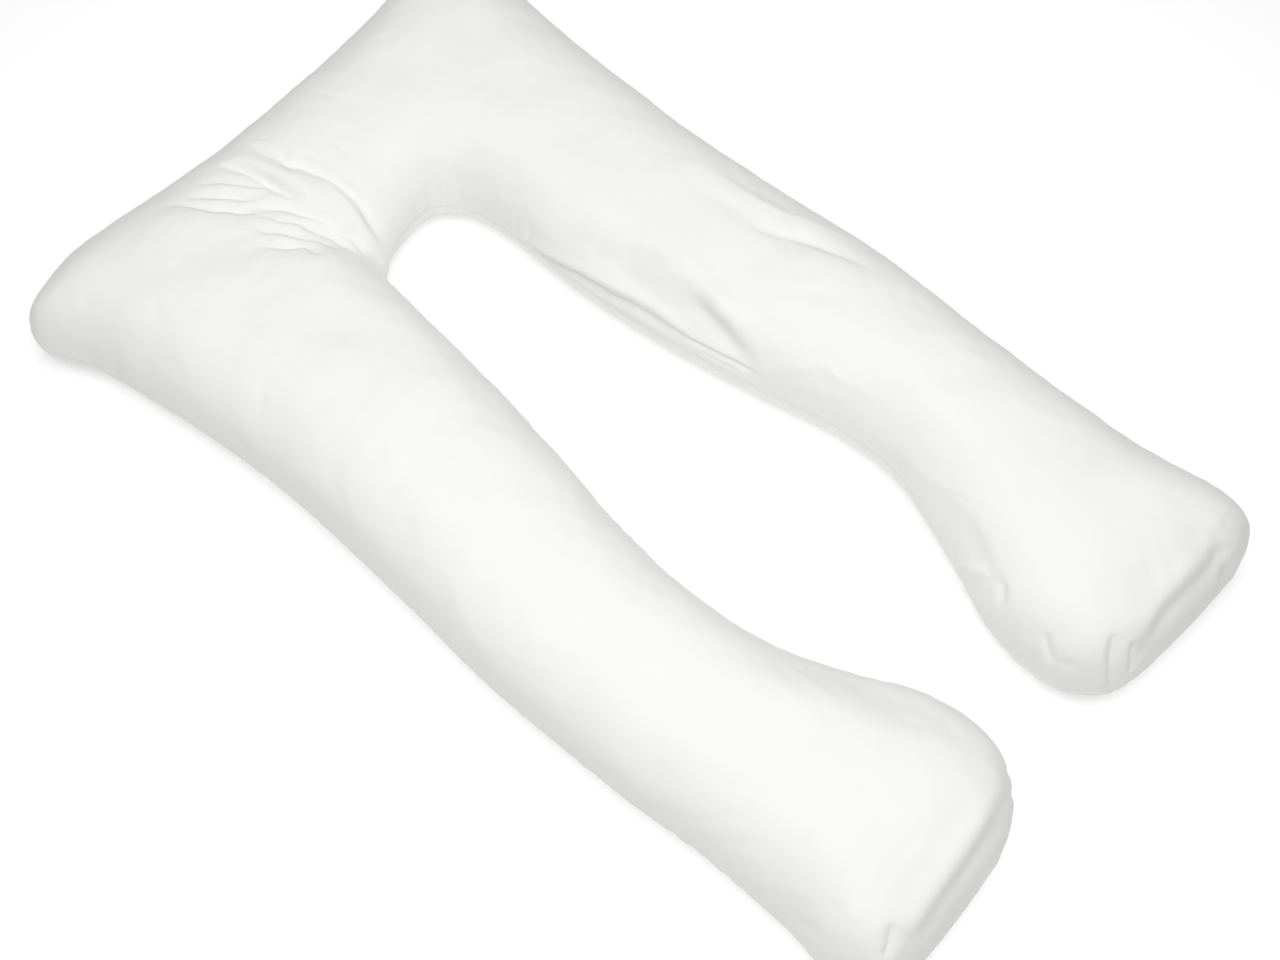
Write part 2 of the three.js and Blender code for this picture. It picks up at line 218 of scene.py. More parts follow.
            (0.117, -0.465, 0.138), (0.104, -0.484, 0.132), (0.088, -0.500, 0.120)]},
    "right foot, small crease": {"depth": 0.0009, "width": 0.005, "roll": 0.1, "lean": 0.45,
        "sharp": 0.6,
        "path": [(0.151, -0.362, 0.127), (0.151, -0.376, 0.134), (0.151, -0.391, 0.141),
            (0.150, -0.410, 0.149)]},
    "right foot, fold in the hollow": {"depth": -0.0034, "width": 0.007, "sharp": 0.6,
        "path": [(0.107, -0.423, 0.074), (0.104, -0.435, 0.092), (0.103, -0.451, 0.109),
            (0.103, -0.466, 0.121)]},
    "right foot, dimple": {"depth": 0.0045, "width": 0.0055, "roll": 0.1, "sharp": 0.2,
        "path": [(0.102, -0.479, 0.129), (0.094, -0.490, 0.125), (0.084, -0.492, 0.110)]},
    "right foot, pucker at the end": {"depth": 0.0068, "width": 0.008, "roll": 0.05, "lean": -0.4,
        "sharp": 0.6,
        "path": [(0.127, -0.611, 0.141), (0.115, -0.622, 0.127), (0.106, -0.635, 0.105),
            (0.105, -0.649, 0.064)]},
    "right foot, second pucker": {"depth": 0.0052, "width": 0.0074, "roll": 0.05, "lean": -0.4,
        "sharp": 0.5,
        "path": [(0.139, -0.635, 0.135), (0.131, -0.644, 0.118), (0.126, -0.653, 0.090)]},
    "right foot, third pucker": {"depth": 0.0034, "width": 0.0068, "roll": 0.1, "lean": -0.3,
        "sharp": 0.5,
        "path": [(0.084, -0.556, 0.130), (0.076, -0.567, 0.116), (0.070, -0.582, 0.100)]},
    "right foot, dent at the end": {"depth": 0.002, "width": 0.005, "roll": 0.1, "sharp": 0.1,
        "path": [(0.074, -0.589, 0.103), (0.081, -0.596, 0.111), (0.083, -0.607, 0.107)]},
    "right foot, edge of the corner": {"depth": -0.0034, "width": 0.007, "sharp": 0.4,
        "path": [(0.283, -0.622, 0.146), (0.297, -0.635, 0.136), (0.314, -0.646, 0.126)]},
    "right foot, hollow at the corner": {"depth": 0.006, "width": 0.013, "sharp": 0.1,
        "path": [(0.280, -0.656, 0.105), (0.296, -0.661, 0.100), (0.314, -0.660, 0.095)]},
    "left foot, pucker": {"depth": 0.0042, "width": 0.008, "roll": 0.05, "lean": -0.35,
        "sharp": 0.6,
        "path": [(-0.296, -0.628, 0.152), (-0.311, -0.640, 0.140), (-0.322, -0.645, 0.130)]},
    "left ankle, edge of the hollow": {"depth": -0.0006, "width": 0.008, "sharp": 0.3,
        "step": -0.0014,
        "path": [(-0.142, -0.347, 0.139), (-0.141, -0.381, 0.144), (-0.143, -0.410, 0.151),
            (-0.141, -0.440, 0.159)]},
    "left foot, dent": {"depth": 0.0014, "width": 0.007, "roll": 0.1, "sharp": 0.1,
        "path": [(-0.319, -0.562, 0.145), (-0.316, -0.576, 0.147), (-0.319, -0.584, 0.145)]},
    "left foot, dent on the wall": {"depth": 0.0016, "width": 0.007, "roll": 0.1, "sharp": 0.1,
        "path": [(-0.345, -0.553, 0.105), (-0.345, -0.568, 0.110), (-0.348, -0.579, 0.106)]},
    "left shoulder, hollow": {"depth": 0.0012, "width": 0.026,
        "path": [(-0.182, 0.334, 0.169), (-0.175, 0.295, 0.170), (-0.175, 0.249, 0.171),
            (-0.182, 0.203, 0.172)]},
    "left shoulder, line": {"depth": 0.0006, "width": 0.0045, "roll": 0.1, "sharp": 0.3,
        "path": [(-0.275, 0.334, 0.164), (-0.295, 0.313, 0.158), (-0.314, 0.298, 0.146)]},
    "left corner, line": {"depth": 0.0009, "width": 0.0045, "roll": 0.1, "sharp": 0.2,
        "path": [(-0.252, 0.555, 0.161), (-0.261, 0.539, 0.162), (-0.270, 0.524, 0.162)]},
    "left corner, second line": {"depth": 0.0009, "width": 0.0045, "roll": 0.1, "sharp": 0.2,
        "path": [(-0.292, 0.504, 0.160), (-0.300, 0.493, 0.159), (-0.309, 0.486, 0.155)]},
    "left foot, edge of the end": {"depth": -0.0004, "width": 0.01, "sharp": 0.4,
        "path": [(-0.077, -0.620, 0.122), (-0.121, -0.627, 0.148), (-0.165, -0.634, 0.153),
            (-0.202, -0.642, 0.151), (-0.231, -0.645, 0.149), (-0.266, -0.647, 0.145),
            (-0.290, -0.652, 0.135)]},
    "right foot, edge of the end": {"depth": -0.0004, "width": 0.01, "sharp": 0.4,
        "path": [(0.292, -0.629, 0.146), (0.268, -0.633, 0.146), (0.226, -0.632, 0.149),
            (0.193, -0.634, 0.146), (0.169, -0.637, 0.141), (0.145, -0.643, 0.127),
            (0.130, -0.651, 0.102)]},
    "left foot, end wall": {"width": 0.0205, "step": -0.0104,
        "path": [(-0.080, -0.624, 0.120), (-0.126, -0.638, 0.138), (-0.176, -0.644, 0.143),
            (-0.216, -0.648, 0.143), (-0.262, -0.651, 0.136), (-0.290, -0.652, 0.130)]},
    "right foot, end wall": {"width": 0.0205, "step": -0.0104,
        "path": [(0.306, -0.632, 0.144), (0.271, -0.643, 0.136), (0.226, -0.641, 0.140),
            (0.183, -0.639, 0.138), (0.137, -0.644, 0.119)]},
}
creaseRows = [{**plainCrease, **crease} for crease in creases.values()]


def addObject(name, data):
    # an object in the scene that holds a mesh, a light or a camera
    item = bpy.data.objects.new(name, data)
    bpy.context.collection.objects.link(item)
    return item


def makeMaterial(name):
    material = bpy.data.materials.new(name)
    material.use_nodes = True
    return material, material.node_tree, material.node_tree.nodes["Principled BSDF"]


def setInputs(node, values):
    for name, value in values.items():
        node.inputs[name].default_value = value


def joinNodes(tree, joins):
    # each join leads from a node's output to another node's input
    for source, output, target, socket in joins:
        tree.links.new(source.outputs[output], target.inputs[socket])


def meshArrays(node):
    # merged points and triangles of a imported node, whose own mesh stays as it is
    mesh = node.data
    mesh.calc_loop_triangles()
    points = np.empty(len(mesh.vertices) * 3, np.float32)
    triangles = np.empty(len(mesh.loop_triangles) * 3, np.int32)
    mesh.vertices.foreach_get("co", points)
    mesh.loop_triangles.foreach_get("vertices", triangles)
    unique, index = np.unique(np.round(points.reshape(-1, 3).astype(float), 6), axis=0,
                              return_inverse=True)
    return unique, index.reshape(-1)[triangles].reshape(-1, 3)


def seamPath(points, triangles):
    # the edges where a face that looks up meets one that looks down, as one ordered loop
    a, b, c = (points[triangles[:, i]] for i in range(3))
    looksUp = np.cross(b - a, c - a)[:, 2] > 0
    pairs = np.sort(np.concatenate([triangles[:, [0, 1]], triangles[:, [1, 2]],
                                    triangles[:, [2, 0]]]), axis=1)
    edges, which = np.unique(pairs, axis=0, return_inverse=True)
    ups = np.bincount(which.reshape(-1), np.tile(looksUp, 3))
    beside = {}
    for p, q in edges[ups == 1].tolist():
        beside.setdefault(p, []).append(q)
        beside.setdefault(q, []).append(p)
    start = list(beside)[nearestOnSeam(points[list(beside)], footCorners["left outer"])]
    # the loop sets out from the left foot's outer corner towards the head
    path = [start, max(beside[start], key=lambda p: points[p][1])]
    while True:
        onward = [p for p in beside[path[-1]] if p != path[-2]][0]
        if onward == start:
            return points[path]
        path.append(onward)


def nearestOnSeam(seam, corner):
    return int(np.argmin(np.hypot(seam[:, 0] - corner[0], seam[:, 1] - corner[1])))


def alongPath(path, shares):
    # points at the given shares of a path's length
    steps = np.concatenate([[0], np.cumsum(np.linalg.norm(np.diff(path, axis=0), axis=1))])
    return np.stack([np.interp(shares * steps[-1], steps, path[:, k]) for k in range(3)], axis=1)


def readPanels(points, triangles):
    # the solid's own rings: points across each panel from the outer seam line to the inner one
    seam = seamPath(points, triangles)
    rightOuter, rightInner, leftInner = (
        nearestOnSeam(seam, footCorners[name])
        for name in ("right outer", "right inner", "left inner"))
    outer, inner = seam[:rightOuter + 1], seam[rightInner:leftInner + 1][::-1]
    if len(outer) != len(inner):
        raise ValueError(f"the seam's sides have {len(outer)} and {len(inner)} points")
    ends = (np.concatenate([seam[leftInner:], seam[:1]])[::-1], seam[rightOuter:rightInner + 1])
    tree = BVHTree.FromPolygons(points.tolist(), triangles.tolist())
    panels = []
    spansTop = cover["solidSpans"]
    for spans, fromAbove in ((spansTop, True), (spansTop // 2, False)):
        shares = (1 - np.cos(np.pi * np.arange(spans + 1) / spans)) / 2
        panel = outer[:, None] + (inner - outer)[:, None] * shares[None, :, None]
        for ring in range(1, len(outer) - 1):
            for i in range(1, spans):
                x, y, _ = panel[ring, i]
                start = Vector((x, y, 1 if fromAbove else -1))
                hit = tree.ray_cast(start, Vector((0, 0, -1 if fromAbove else 1)))[0]
                panel[ring, i] = hit if hit else tree.find_nearest(Vector(panel[ring, i]))[0]
        panel[0], panel[-1] = alongPath(ends[0], shares), alongPath(ends[1], shares)
        panels.append(panel)
    return panels


def splineWeights(count, places):
    # weights that read a row of points at fractional places along a smooth curve
    weights = np.zeros((len(places), count))
    base = np.clip(np.floor(places).astype(int), 0, count - 2)
    t = places - base
    parts = ((-t + 2 * t**2 - t**3) / 2, (2 - 5 * t**2 + 3 * t**3) / 2,
             (t + 4 * t**2 - 3 * t**3) / 2, (t**3 - t**2) / 2)
    rows = np.arange(len(places))
    for offset, part in zip((-1, 0, 1, 2), parts):
        column = base + offset
        before, after = column < 0, column >= count
        inside = ~(before | after)
        weights[rows[inside], column[inside]] += part[inside]
        weights[rows[before], 0] += 2 * part[before]  # a straight run on past either end
        weights[rows[before], 1] -= part[before]
        weights[rows[after], count - 1] += 2 * part[after]
        weights[rows[after], count - 2] -= part[after]
    return weights


def evenPlaces(sizes, pitches, marks, count):
    # places among the marks, close together where the pitch is small
    reached = np.concatenate([[0], np.cumsum(sizes / pitches)])
    return np.interp(np.linspace(0, reached[-1], count), reached, marks)


def topShares():
    # places across the top panel from 0 to 1, crowded beside both seams
    width = cover["panelWidth"]
    away = np.linspace(0, width, 2001)
    toSeam = np.minimum(away, width - away)
    pitch = np.minimum(cover["seamRowPitch"] + cover["rowPitchGrowth"] * toSeam,
                       cover["openRowPitch"])
    return evenPlaces(np.diff(away), pitch[1:], away, cover["topRows"] + 1) / width


def ringPlaces(top):
    # where the rings stand, closer together where the cloth has more folds
    line = (top[:, 0] + top[:, -1] + top[:, cover["solidSpans"] // 2]) / 3
    sizes = np.linalg.norm(np.diff(line, axis=0), axis=1)
    middle = (line[1:] + line[:-1]) / 2
    density = np.ones(len(sizes))
    for x, y, reach, closer in closeRings:
        aside = np.hypot(middle[:, 0] - x, middle[:, 1] - y) / reach
        density += closer * np.exp(-aside**2)
    return evenPlaces(sizes, 1 / density, np.arange(len(line)), cover["ringCount"])


def gridNormals(panel):
    # the upward directions square to the top panel
    along = np.gradient(panel, axis=0)
    across = np.gradient(panel, axis=1)
    normals = np.cross(across, along)
    return normals / np.maximum(np.linalg.norm(normals, axis=2, keepdims=True), 1e-12)


def seamDistances(panel):
    # distances over the cloth from the outer side, the inner side, the left foot's end and the
    # right foot's end
    across = np.cumsum(np.linalg.norm(np.diff(panel, axis=1), axis=2), axis=1)
    across = np.concatenate([np.zeros((len(panel), 1)), across], axis=1)
    along = np.cumsum(np.linalg.norm(np.diff(panel, axis=0), axis=2), axis=0)
    along = np.concatenate([np.zeros((1, panel.shape[1])), along], axis=0)
    return across, across[:, -1:] - across, along, along[-1:] - along


def toNearestSeam(distances):
    outerAway, innerAway, startAway, endAway = distances
    return np.minimum(np.minimum(outerAway, innerAway), np.minimum(startAway, endAway))


def waves(coordinates, lengths, seed, count=14):
    # a smooth random field of about unit height, from waves in every direction
    random = np.random.default_rng(seed)
    field = 0
    for _ in range(count):
        direction = random.normal(size=coordinates.shape[-1])
        direction /= np.linalg.norm(direction)
        turns = coordinates @ direction / random.uniform(*lengths) + random.random()
        field = field + np.sin(2 * np.pi * turns)
    return field / math.sqrt(count / 2)


def gatherField(along, away, reach, seed):
    # folds that start at the seam and fade out on the open cloth, round with narrow valleys
    place = along[..., None]
    fine = waves(place, cover["gatherLength"], seed)
    puffs = 1 - np.exp(-1.1 * np.clip(fine, -1.3, 2.5))
    patches = 0.55 + 0.45 * np.clip(waves(place, cover["gatherPatches"], seed + 1), -1, 1)
    return puffs * patches * (away / reach) * np.exp(1 - away / reach)


def risen(away, reach):
    # 0 at the seam, rising smoothly to 1 past reach
    return 1 - np.exp(-(away / reach)**2)


def seamRelief(panel, seed):
    # how far the seam's pull and its gathers move the cloth out or in
    outerAway, innerAway, startAway, endAway = distances = seamDistances(panel)
    nearest = toNearestSeam(distances)
    towardsFeet = np.clip((feet["from"] - panel[..., 1]) / feet["over"], 0, 1)
    depth = cover["seamDepth"] * (1 - feet["shallower"] * towardsFeet)
    relief = -depth * np.exp(-(nearest / cover["seamReach"])**2)
    strength = cover["gatherHeight"] * (cover["gatherShare"] + feet["higher"] * towardsFeet)
    reach = cover["gatherReach"] * (1 + feet["wider"] * towardsFeet)
    # each side's gathers die out before the corners
    pastEnds = risen(np.minimum(startAway, endAway), cover["gatherEnds"])
    pastSides = risen(np.minimum(outerAway, innerAway), cover["gatherEnds"])
    sides = gatherField(startAway[:, :1], outerAway, reach, seed)
    sides += gatherField(startAway[:, -1:], innerAway, reach, seed + 2)
    ends = gatherField(outerAway, startAway, reach, seed + 4)
    ends += gatherField(outerAway, endAway, reach, seed + 6)
    relief += strength * (sides * pastEnds + ends * pastSides)
    # the seam lies smooth where the sides meet the ends
    corner = np.hypot(np.minimum(outerAway, innerAway), np.minimum(startAway, endAway))
    return relief * risen(corner, cover["smoothCorner"])


creaseShape = {
    "linePoints": 90,
    "reach": 4.5,       # widths from a crease to where its relief ends
    "fade": 0.6,        # 0 leaves a crease's two ends blunt, more thins them out
    "rollAway": 1.9,    # widths from a crease to the top of the roll beside it
    "rollWidth": 0.9,
    "tilt": 1.166,      # makes a step's two sides half the step high and deep
}


def creaseLine(crease, tree):
    # a smooth line through a crease's points, laid on the cloth
    corners = np.array(crease["path"])
    places = np.linspace(0, len(corners) - 1, creaseShape["linePoints"])
    drawn = splineWeights(len(corners), places) @ corners
    return np.array([tree.find_nearest(Vector(p))[0] for p in drawn])


def nearLine(points, line, reach):
    # the points within reach of a line: which they are, how far off, and where along it
    near = np.nonzero(np.all((points > line.min(0) - reach) & (points < line.max(0) + reach),
                             axis=1))[0]
    gaps = np.linalg.norm(points[near][:, None] - line[None], axis=2)
    closest = gaps.argmin(axis=1)
    return near, gaps[np.arange(len(near)), closest], closest


def creaseRelief(points, lines):
    # the creases laid on the cloth: a trough, a low roll to each side of it, and a step
    shape = creaseShape
    relief = np.zeros(len(points))
    for crease, line in zip(creaseRows, lines):
        near, gaps, closest = nearLine(points, line, shape["reach"] * crease["width"])
        heading = np.gradient(line, axis=0)[closest]
        offset = points[near] - line[closest]
        onRight = heading[:, 1] * offset[:, 0] - heading[:, 0] * offset[:, 1] > 0
        side = np.where(onRight, 1 + crease["lean"], 1 - crease["lean"])
        away = gaps / (crease["width"] * side)
        fade = np.sin(np.pi * (closest + 0.5) / len(line))**shape["fade"]
        trough = np.exp(-away**(2 - 0.9 * crease["sharp"]))
        roll = crease["roll"] * np.exp(-((away - shape["rollAway"]) / shape["rollWidth"])**2)
        tilt = np.where(onRight, -1, 1) * shape["tilt"] * away * np.exp(-away**2)
        relief[near] += fade * (crease["depth"] * (roll - trough) + crease["step"] * tilt)
    return relief


def finerPanel(panel, rings, places):
    # a panel read smoothly at fractional rings, and at fractional places across it
    return np.einsum("ar,bc,rck->abk", splineWeights(len(panel), rings),
                     splineWeights(panel.shape[1], places), panel)


def fillPanels(panels, slack):
    # the two panels at full detail, and how far the cloth's folds move them
    shares, rings = topShares(), ringPlaces(panels[0])
    rows, kept, spans = cover["topRows"], list(cover["bottomRows"]), cover["solidSpans"]
    bottomRows = kept + [rows // 2] + [rows - k for k in reversed(kept)]
    top = finerPanel(panels[0], rings, shares * spans)
    bottom = finerPanel(panels[1], rings, shares[bottomRows] * (spans // 2))
    lumps = cover["lumpHeight"] * waves(top, cover["lumpLength"], cover["seed"])
    ripples = cover["rippleHeight"] * waves(top, cover["rippleLength"], cover["seed"] + 1,
                                            cover["rippleWaves"])
    onOpenCloth = risen(toNearestSeam(seamDistances(top)), cover["openCloth"])
    relief = seamRelief(top, cover["seed"] + 10)
    if slack is not None:
        relief += (splineWeights(len(slack), rings * 2) @ slack
                   @ splineWeights(slack.shape[1], shares * (slack.shape[1] - 1)).T)
    relief += (lumps + ripples) * onOpenCloth
    return top, bottom, bottomRows, relief, seamRelief(bottom, cover["seed"] + 10)


def asFaces(panel):
    # a panel's grid of points as a list of points and a list of quads
    rings, rows = panel.shape[:2]
    index = np.arange(rings * rows).reshape(rings, rows)
    quads = np.stack([index[:-1, :-1], index[:-1, 1:], index[1:, 1:], index[1:, :-1]], axis=2)
    return panel.reshape(-1, 3).tolist(), quads.reshape(-1, 4).tolist()


def closedSkin(top, bottom, bottomRows):
    # both panels as one closed mesh, joined along the seam
    rings, rows = top.shape[:2]
    points, faces = asFaces(top)
    index = np.arange(rings * rows).reshape(rings, rows)
    under = index[:, bottomRows].copy()
    inner = bottom[1:-1, 1:-1].reshape(-1, 3)
    under[1:-1, 1:-1] = len(points) + np.arange(len(inner)).reshape(rings - 2, -1)
    points += inner.tolist()
    for ring in range(rings - 1):
        for k in range(len(bottomRows) - 1):
            quad = [under[ring, k], under[ring + 1, k], under[ring + 1, k + 1],
                    under[ring, k + 1]]
            between = slice(bottomRows[k] + 1, bottomRows[k + 1])
            if ring == 0:  # the end seams have all of the top panel's points
                quad += index[0, between][::-1].tolist()
            elif ring == rings - 2:
                quad[2:2] = index[-1, between].tolist()
            faces.append([int(p) for p in quad])
    return points, faces, index


# The cloth's own slack, found by letting it settle over the filling.
slackCloth = {
    "settings": {
        "quality": 4, "tension_stiffness": 15, "compression_stiffness": 15,
        "shear_stiffness": 5, "bending_stiffness": 0.8, "vertex_group_mass": "held",
        "shrink_min": -0.016,  # the cloth is this share larger than what it covers
        "use_pressure": True, "uniform_pressure_force": 4,
    },
    "inset": 0.003,      # m that the top panel starts below its place
    "lastFrame": 20,
    "smoothing": 60,     # passes that part the wrinkles from the cloth's broad shape
    "share": 0.15,       # how much of the wrinkles' height is kept
    "limit": 0.0012,     # m that they may move the cloth
}


def softened(field, passes):
    # a field over the panel's grid, with its small waves smoothed out
    for _ in range(passes):
        padded = np.pad(field, 1, mode="edge")
        field = (padded[:-2, 1:-1] + 2 * padded[1:-1, 1:-1] + padded[2:, 1:-1]) / 4
        padded = np.pad(field, 1, mode="edge")
        field = (padded[1:-1, :-2] + 2 * padded[1:-1, 1:-1] + padded[1:-1, 2:]) / 4
    return field


def settleCloth(panels, look):
    # a cloth simulation of the whole cover; returns how far its wrinkles move the top panel
    spans, rings = cover["solidSpans"], np.arange(2 * len(panels[0]) - 1) / 2
    top = finerPanel(panels[0], rings, np.arange(2 * spans + 1) / 2)
    bottom = finerPanel(panels[1], rings, np.arange(spans + 1) / 2)
    outwards = gridNormals(top)
    points, faces, index = closedSkin(top - look["inset"] * outwards, bottom,
                                      list(range(0, 2 * spans + 1, 2)))
    mesh = bpy.data.meshes.new("slackCloth")
    mesh.from_pydata(points, [], faces)
    piece = addObject("slackCloth", mesh)
    held = piece.vertex_groups.new(name="held")  # the underside and the seam stay in place
    seam = np.concatenate([index[:, [0, -1]].reshape(-1), index[[0, -1]].reshape(-1)])
    held.add(seam.tolist() + list(range(index.size, len(points))), 1, "REPLACE")
    cloth = piece.modifiers.new("cloth", "CLOTH")
    cloth.point_cache.frame_start, cloth.point_cache.frame_end = 1, look["lastFrame"]
    for name, value in look["settings"].items():
        setattr(cloth.settings, name, value)
    cloth.settings.effector_weights.gravity = 0
    for number in range(1, look["lastFrame"] + 1):
        bpy.context.scene.frame_set(number)
    settled = piece.evaluated_get(bpy.context.evaluated_depsgraph_get()).data
    places = np.empty(len(settled.vertices) * 3, np.float32)
    settled.vertices.foreach_get("co", places)
    bpy.context.scene.frame_set(1)
    bpy.data.objects.remove(piece)
    bpy.data.meshes.remove(mesh)
    moves = places.reshape(-1, 3)[:index.size].reshape(top.shape) - top
    heights = (moves * outwards).sum(axis=2)
    wrinkles = (heights - softened(heights, look["smoothing"])) * look["share"]
    return look["limit"] * np.tanh(wrinkles / look["limit"])


refining = {
    "levels": 3,         # times that a face may be split
    "perSlope": 0.5,     # size of a face over a crease's slimmest slope
    "reach": 1.5,        # widths from a crease, at the first level
    "lessReach": 0.4,    # widths less at each later level
    "spareReach": 0.001, # m
    "tooLarge": 1.4,     # a face over this many times the wanted size is split
}


def refineAlong(net, lines):
    # smaller faces on and beside each crease, so that it stays crisp
    for level in range(refining["levels"]):
        net.faces.ensure_lookup_table()
        middles = np.array([face.calc_center_median() for face in net.faces])
        sizes = np.sqrt([face.calc_area() for face in net.faces])
        chosen = np.zeros(len(middles), bool)
        for crease, line in zip(creaseRows, lines):
            # a leaning or pinched crease has a slimmer slope
            slimmest = crease["width"] * (1 - abs(crease["lean"])) / (0.6 + crease["sharp"])
            pitch = max(cover["finestPitch"], refining["perSlope"] * slimmest)
            widths = refining["reach"] - refining["lessReach"] * level
            reach = widths * crease["width"] + refining["spareReach"]
            near, gaps, _ = nearLine(middles, line, reach)
            chosen[near[(gaps < reach) & (sizes[near] > refining["tooLarge"] * pitch)]] = True
        edges = {edge for i in np.nonzero(chosen)[0] if len(net.faces[i].verts) == 4
                 for edge in net.faces[i].edges}
        if not edges:
            break
        bmesh.ops.subdivide_edges(net, edges=list(edges), cuts=1, use_grid_fill=True)


def pressFolds(mesh):
    # refines the mesh along the creases, then moves its points by every fold
    net = bmesh.new()
    net.from_mesh(mesh)
    tree = BVHTree.FromBMesh(net)
    lines = [creaseLine(crease, tree) for crease in creaseRows]
    refineAlong(net, lines)
    net.to_mesh(mesh)
    net.free()
    count = len(mesh.vertices)
    points, normals = np.empty(count * 3, np.float32), np.empty(count * 3, np.float32)
    mesh.vertices.foreach_get("co", points)
    mesh.vertex_normals.foreach_get("vector", normals)
    values = {name: np.empty(count, np.float32) for name in ("seamAway", "relief")}
    for name, value in values.items():
        mesh.attributes[name].data.foreach_get("value", value)
        mesh.attributes.remove(mesh.attributes[name])
    points = points.reshape(-1, 3).astype(float)
    pressed = creaseRelief(points, lines) * risen(values["seamAway"], cover["seamFade"])
    points += (values["relief"] + pressed)[:, None] * normals.reshape(-1, 3)
    points[:, 2] = np.maximum(points[:, 2], 0)
    mesh.vertices.foreach_set("co", points.astype(np.float32).reshape(-1))
    mesh.update()
    return points


def makeCover(panels, slack):
    # the cover as one piece, and the points of its seam
    top, bottom, bottomRows, topRelief, bottomRelief = fillPanels(panels, slack)
    points, faces, index = closedSkin(top, bottom, bottomRows)
    mesh = bpy.data.meshes.new("pillowCover")
    mesh.from_pydata(points, [], faces)
    mesh.validate()
    # lengths over the cloth, in metres, for the weave
    across, _, along, _ = distances = seamDistances(top)
    seamAway = np.zeros(len(points))
    seamAway[:index.size] = toNearestSeam(distances).reshape(-1)
    mesh.attributes.new("seamAway", "FLOAT", "POINT").data.foreach_set("value", seamAway)
    relief = np.concatenate([topRelief.reshape(-1), bottomRelief[1:-1, 1:-1].reshape(-1)])
    mesh.attributes.new("relief", "FLOAT", "POINT").data.foreach_set("value", relief)
    place = np.zeros((len(points), 2))
    place[:index.size] = np.stack([across.reshape(-1), along.reshape(-1)], axis=1)
    acrossUnder, _, alongUnder, _ = seamDistances(bottom)
    place[index.size:] = np.stack([acrossUnder[1:-1, 1:-1].reshape(-1),
                                   alongUnder[1:-1, 1:-1].reshape(-1)], axis=1)
    layer = mesh.uv_layers.new(name="clothLengths")
    corners = np.empty(len(mesh.loops), np.int32)
    mesh.loops.foreach_get("vertex_index", corners)
    layer.data.foreach_set("uv", place[corners].astype(np.float32).reshape(-1))
    points = pressFolds(mesh)
    mesh.shade_smooth()
    seam = np.concatenate([index[:, 0], index[-1, 1:-1], index[::-1, -1], index[0, -2:0:-1]])
    return addObject("pillowCover", mesh), points[seam]


wavePeriod = 0.314  # m between the bands of a wave texture at scale 1

cottonLook = {
    "shade": (0.80, 0.80, 0.79),
    "lightShade": (0.84, 0.84, 0.83),
    "driftScale": 7,         # of the slow change between the two shades
    "roughness": 0.88,
    "sheen": 0.18,
    "sheenRoughness": 0.45,
    "specular": 0.25,
    "threadPitch": 0.00055,  # m between threads
    "weaveBump": 0.05,
    "weaveDepth": 0.0003,    # m
    "fuzzScale": 120,
    "fuzzBump": 0.04,
    "fuzzDepth": 0.002,      # m
}


def makeCotton(name, look):
    material, tree, shader = makeMaterial(name)
    nodes = tree.nodes
    setInputs(shader, {"Roughness": look["roughness"], "Sheen Weight": look["sheen"],
                       "Sheen Roughness": look["sheenRoughness"],
                       "Specular IOR Level": look["specular"]})
    place = nodes.new("ShaderNodeTexCoord")

    # a slow drift of shade over the cloth
    drift = nodes.new("ShaderNodeTexNoise")
    setInputs(drift, {"Scale": look["driftScale"], "Detail": 3})
    shades = nodes.new("ShaderNodeMix")
    shades.data_type = "RGBA"
    setInputs(shades, {"A": (*look["shade"], 1), "B": (*look["lightShade"], 1)})
    joinNodes(tree, ((place, "Object", drift, "Vector"), (drift, "Fac", shades, "Factor"),
                     (shades, "Result", shader, "Base Color")))

    # warp and weft threads from the cloth's own lengths
    weave = nodes.new("ShaderNodeMath")
    weave.operation = "MULTIPLY"
    for number, direction in enumerate(("X", "Y")):
        wave = nodes.new("ShaderNodeTexWave")
        wave.bands_direction = direction
        setInputs(wave, {"Scale": wavePeriod / look["threadPitch"], "Distortion": 0.6,
                         "Detail": 1})
        joinNodes(tree, ((place, "UV", wave, "Vector"), (wave, "Fac", weave, number)))
    weaveBump = nodes.new("ShaderNodeBump")
    setInputs(weaveBump, {"Strength": look["weaveBump"], "Distance": look["weaveDepth"]})

    # the nap of the cotton
    fuzz = nodes.new("ShaderNodeTexNoise")
    setInputs(fuzz, {"Scale": look["fuzzScale"], "Detail": 4})
    fuzzBump = nodes.new("ShaderNodeBump")
    setInputs(fuzzBump, {"Strength": look["fuzzBump"], "Distance": look["fuzzDepth"]})
    joinNodes(tree, ((weave, "Value", weaveBump, "Height"), (place, "Object", fuzz, "Vector"),
                     (fuzz, "Fac", fuzzBump, "Height"), (weaveBump, "Normal", fuzzBump, "Normal"),
                     (fuzzBump, "Normal", shader, "Normal")))
    return material


points, triangles = meshArrays(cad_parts["pillow"])
panels = readPanels(points, triangles)
slack = settleCloth(panels, slackCloth)
print("stage: cloth settled" if slack is not None else "stage: cloth left unsettled")
pillowCover, seamLine = makeCover(panels, slack)
pillowCover.data.materials.append(makeCotton("whiteCotton", cottonLook))
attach(pillowCover, "root")
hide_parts("pillow")
print("stage: cover made,", sum(face.loop_total - 2 for face in pillowCover.data.polygons),
      "triangles")

seamThread = {
    "pitch": 0.0034,      # m from stitch to stitch
    "length": 0.0027,     # m across the seam
    "thickness": 0.00055,
    "tilt": 0.16,         # how far a stitch may lean forwards, in radians
    "backwards": 0.4,     # share of that which it may lean backwards
    "lift": 0.0003,       # m that the thread stands off the bottom of the seam
    "seed": 5,
    "shade": (0.83, 0.83, 0.81),
    "roughness": 0.62,
    "sheen": 0.25,
    "twistPitch": 0.0004, # m between the turns of the thread
    "twistBump": 0.4,
    "twistDepth": 0.0001, # m
}


